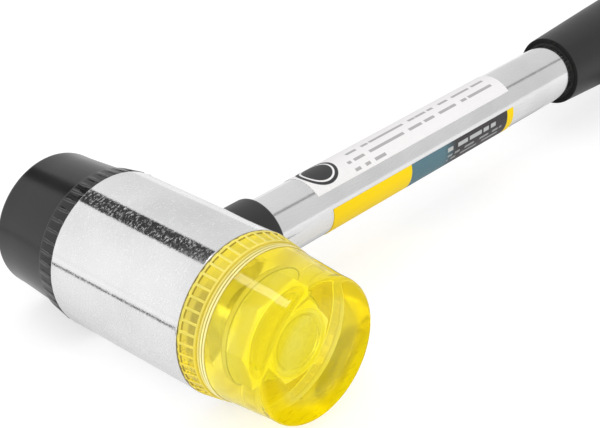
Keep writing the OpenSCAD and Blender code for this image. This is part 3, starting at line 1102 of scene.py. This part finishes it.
# Painted highlights: a pale ring round the head's front and pale corners beyond its chamfer.
line = away.rise(*line_start) * away.rise(*line_end)
outer = away.rise(*corner_ring)
corner = outer * along.rise(*corner_reach)
# Painted shade at the flange's front and back edges.
flange_edge_shade = abs(along - (bolt_back + flange_thickness / 2)).rise(*flange_shade_reach) * away.rise(*flange_shade_ring)
shiny = corner.tint(line.tint(rim, zinc_ring_highlight), zinc_corner_highlight)
feed(bolt_zinc, {
    "Base Color": flange_edge_shade.tint(shiny, zinc_edge_shade),
    "Metallic": 1 - 0.5 * outer,
    "Roughness": zinc_rough + 0.14 * specks,
    "Normal": specks.bump(zinc_tooth),
})
for colour, side in (("yellow", 1), ("black", -1)):
    face_bolt = bolt(colour + "_bolt", side, bolt_zinc)
    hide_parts(colour + "_face_bolt")
    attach(face_bolt, colour + "_end")

# Lock washers: split rings of spring steel round the bolts, in a seat behind each face.
# The two ends at the split stand a little apart, so that they bite into barrel and face.
washer_outside = 9 * mm
washer_inside = 5.15 * mm
washer_low = 0.02 * mm
washer_thickness = 2 * mm
washer_spring = 0.15 * mm
washer_split = 1.4 * mm
washer_columns = 72
washer_edge = 0.18 * mm
washer_edge_steps = 3
washer_tint = (0.8, 0.8, 0.78, 1)
washer_dim = (0.68, 0.68, 0.65, 1)


def washer(name, side, material):
    """A split ring with a slight helical rise and flat ends."""
    place = on_end(side)
    half_split = washer_split / (washer_outside + washer_inside)
    washer_high = washer_low + washer_thickness
    section = softened([(washer_low, washer_inside, washer_edge), (washer_low, washer_outside, washer_edge),
                        (washer_high, washer_outside, washer_edge),
                        (washer_high, washer_inside, washer_edge)], washer_edge_steps)
    middle = (washer_low + washer_thickness / 2, (washer_inside + washer_outside) / 2)
    closed_end = [middle] * len(section)
    columns = [(closed_end, 0)]
    columns += [(section, column / washer_columns) for column in range(washer_columns + 1)]
    columns += [(closed_end, 1)]
    rings = []
    for points, share in columns:
        turn = half_split + (tau - 2 * half_split) * share
        rings.append([place(along + washer_spring * share, radius, turn) for along, radius in points])
    shape = bmesh.new()
    lay_rings(shape, rings)
    made = piece(name, shape)
    made.data.materials.append(material)
    return made


washer_steel = plain_steel("washer_steel", washer_tint, washer_dim, rough=0.3, grain=1300)
for colour, side in (("yellow", 1), ("black", -1)):
    ring = washer(colour + "_washer_ring", side, washer_steel)
    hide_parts(colour + "_lock_washer")
    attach(ring, colour + "_washer")

# Floor and surroundings: a white sheet under the hammer, in a tent of white cloth that is lightest in front.
# Both have levels of their own for the camera and for light that has passed through the yellow plastic.
# Darker strips show only in what is shiny: gaps between the cloths, and shade on the sheet.
floor_size = 4.0
floor_drop = 0.1 * mm
floor_dim = grey(0.5)
floor_pale = grey(0.505)
floor_clouds = 8
floor_glow = 0.24
floor_seen = 0.36
floor_mirrored = 0.13
floor_mirrored_far = 0.1
floor_far = (0.12, 0.3)
floor_through = 0.4
tent_level = 0.83
tent_front = 0.14
tent_side = 0.05
tent_seen = 1.0
tent_through = 1.25
strip_dim = grey(0.01)
strip_pale = grey(0.012)
strip_folds = 3
shade_height = -0.0192
floor_shape = bmesh.new()
bmesh.ops.create_grid(floor_shape, x_segments=2, y_segments=2, size=floor_size)
floor = piece("floor", floor_shape)
floor.location.z = -floor_drop
floor_sheet, place = finish("floor_sheet", {"Roughness": 0.9, "Specular IOR Level": 0.0,
                                            "Emission Strength": 1.0})
rays = place.node("ShaderNodeLightPath", out="Is Camera Ray")
across = place.split()
deep = across.beside("Y") - head.y
far = across.maths("SQRT", across * across + deep * deep).rise(*floor_far)
mirrored = (floor_mirrored + floor_mirrored_far * far) * rays.beside("Is Glossy Ray")
glow = floor_glow + floor_seen * rays + mirrored + floor_through * rays.beside("Is Transmission Ray")
feed(floor_sheet, {
    "Base Color": place.noise(floor_clouds, 2.0).tint(floor_dim, floor_pale),
    "Emission Color": glow.node("ShaderNodeCombineColor", {}, {0: glow, 1: glow, 2: glow}),
})
floor.data.materials.append(floor_sheet)

world = bpy.data.worlds.new("tent")
bpy.context.scene.world = world
world.use_nodes = True
sky = Wire(world.node_tree)
facing = sky.node("ShaderNodeTexCoord", out="Generated").split()
cloth = tent_level - tent_front * facing.beside("Y") - tent_side * facing
rays = sky.node("ShaderNodeLightPath", out="Is Camera Ray")
level = cloth + rays * (tent_seen - cloth) + rays.beside("Is Transmission Ray") * (tent_through - cloth)
tent_colour = level.node("ShaderNodeCombineColor", {}, {0: level, 1: level, 2: level})
world.node_tree.links.new(tent_colour.socket, world.node_tree.nodes["Background"].inputs["Color"])


def strip(name, centre, along, wide, dark, light, turn=0):
    """A strip that only shiny surfaces show, with a level at each end of its length."""
    shape = bmesh.new()
    bmesh.ops.create_grid(shape, x_segments=1, y_segments=1, size=0.5)
    made = piece(name, shape)
    made.matrix_world = (Matrix.Translation(head + Vector(centre)) @ Matrix.Rotation(radians(turn), 4, "Z")
                         @ Matrix.Diagonal((along, wide, 1, 1)))
    material, place = finish(name, {"Specular IOR Level": 0.0, "Roughness": 1.0, "Emission Strength": 1.0})
    feed(material, {
        "Base Color": place.noise(strip_folds, 1.0).tint(strip_dim, strip_pale),
        "Emission Color": place.split().rise(-0.5, 0.5).tint(grey(dark), grey(light)),
    })
    made.data.materials.append(material)
    made.visible_camera = False
    made.visible_diffuse = False
    made.visible_shadow = False
    made.visible_transmission = False


strip("overhead_gap", centre=(-0.63, 0.062, 0.5), along=0.56, wide=0.205, turn=-14.5, dark=0.03, light=0.04)
strip("side_gap", centre=(0.22, 0.56, 0.49), along=0.075, wide=1.2, turn=-15, dark=0.3, light=0.34)
strip("sheet_edge", centre=(-0.088, -0.113, -0.0185), along=0.6, wide=0.024, turn=-5, dark=0.04, light=0.05)
strip("tube_shade", centre=(-0.004, 0.085, shade_height), along=0.024, wide=0.13, dark=0.03, light=0.7)
strip("face_shade", centre=(0.0675, 0.025, shade_height), along=0.045, wide=0.08, dark=0.0, light=0.6)
strip("grip_shade", centre=(0, 0.221, shade_height), along=0.05, wide=0.098, dark=0.05, light=0.1)


def panel(name, centre, target, size, power, mirrored=False):
    """A soft box that faces the hammer. Only a mirrored one shows in what is shiny."""
    light = bpy.data.lights.new(name, "AREA")
    light.shape = "RECTANGLE"
    light.size, light.size_y = size
    light.energy = power
    lamp = put_in_scene(name, light)
    lamp.visible_glossy = mirrored
    lamp.location = head + Vector(centre)
    lamp.rotation_euler = (Vector(target) - Vector(centre)).to_track_quat("-Z", "Y").to_euler()


panel("top_panel", centre=(0.1, 0.15, 1.1), target=(0, 0.05, 0), size=(1.2, 1.2), power=1.2)
panel("front_panel", centre=(0.75, -0.6, 0.25), target=(0, 0.05, 0), size=(0.9, 0.9), power=5.4)
panel("streak_panel", centre=(-0.245, -0.043, 0.5), target=(0, 0, 0), size=(0.11, 0.055), power=0.16,
      mirrored=True)

# Camera: a long lens from the striking side, a little above the head.
# It is turned slightly about its own axis, as in the picture of the hammer.
camera_lens = 94.415
camera_sensor = 36
camera_nearest = 0.01
camera_roll = radians(-2.67)
look_at = Vector((0.0221, -0.1020, 0.0368))
look_from = Vector((0.23582, -0.31703, 0.21162))
camera_data = bpy.data.cameras.new("camera")
camera_data.sensor_width = camera_sensor
camera_data.lens = camera_lens
camera_data.clip_start = camera_nearest
camera = put_in_scene("camera", camera_data)
bpy.context.scene.camera = camera
camera.location = look_from
camera.rotation_mode = "QUATERNION"
aim = (look_at - look_from).to_track_quat("-Z", "Y")
camera.rotation_quaternion = aim @ Matrix.Rotation(camera_roll, 4, "Z").to_quaternion()

bpy.context.scene.view_settings.view_transform = "Standard"
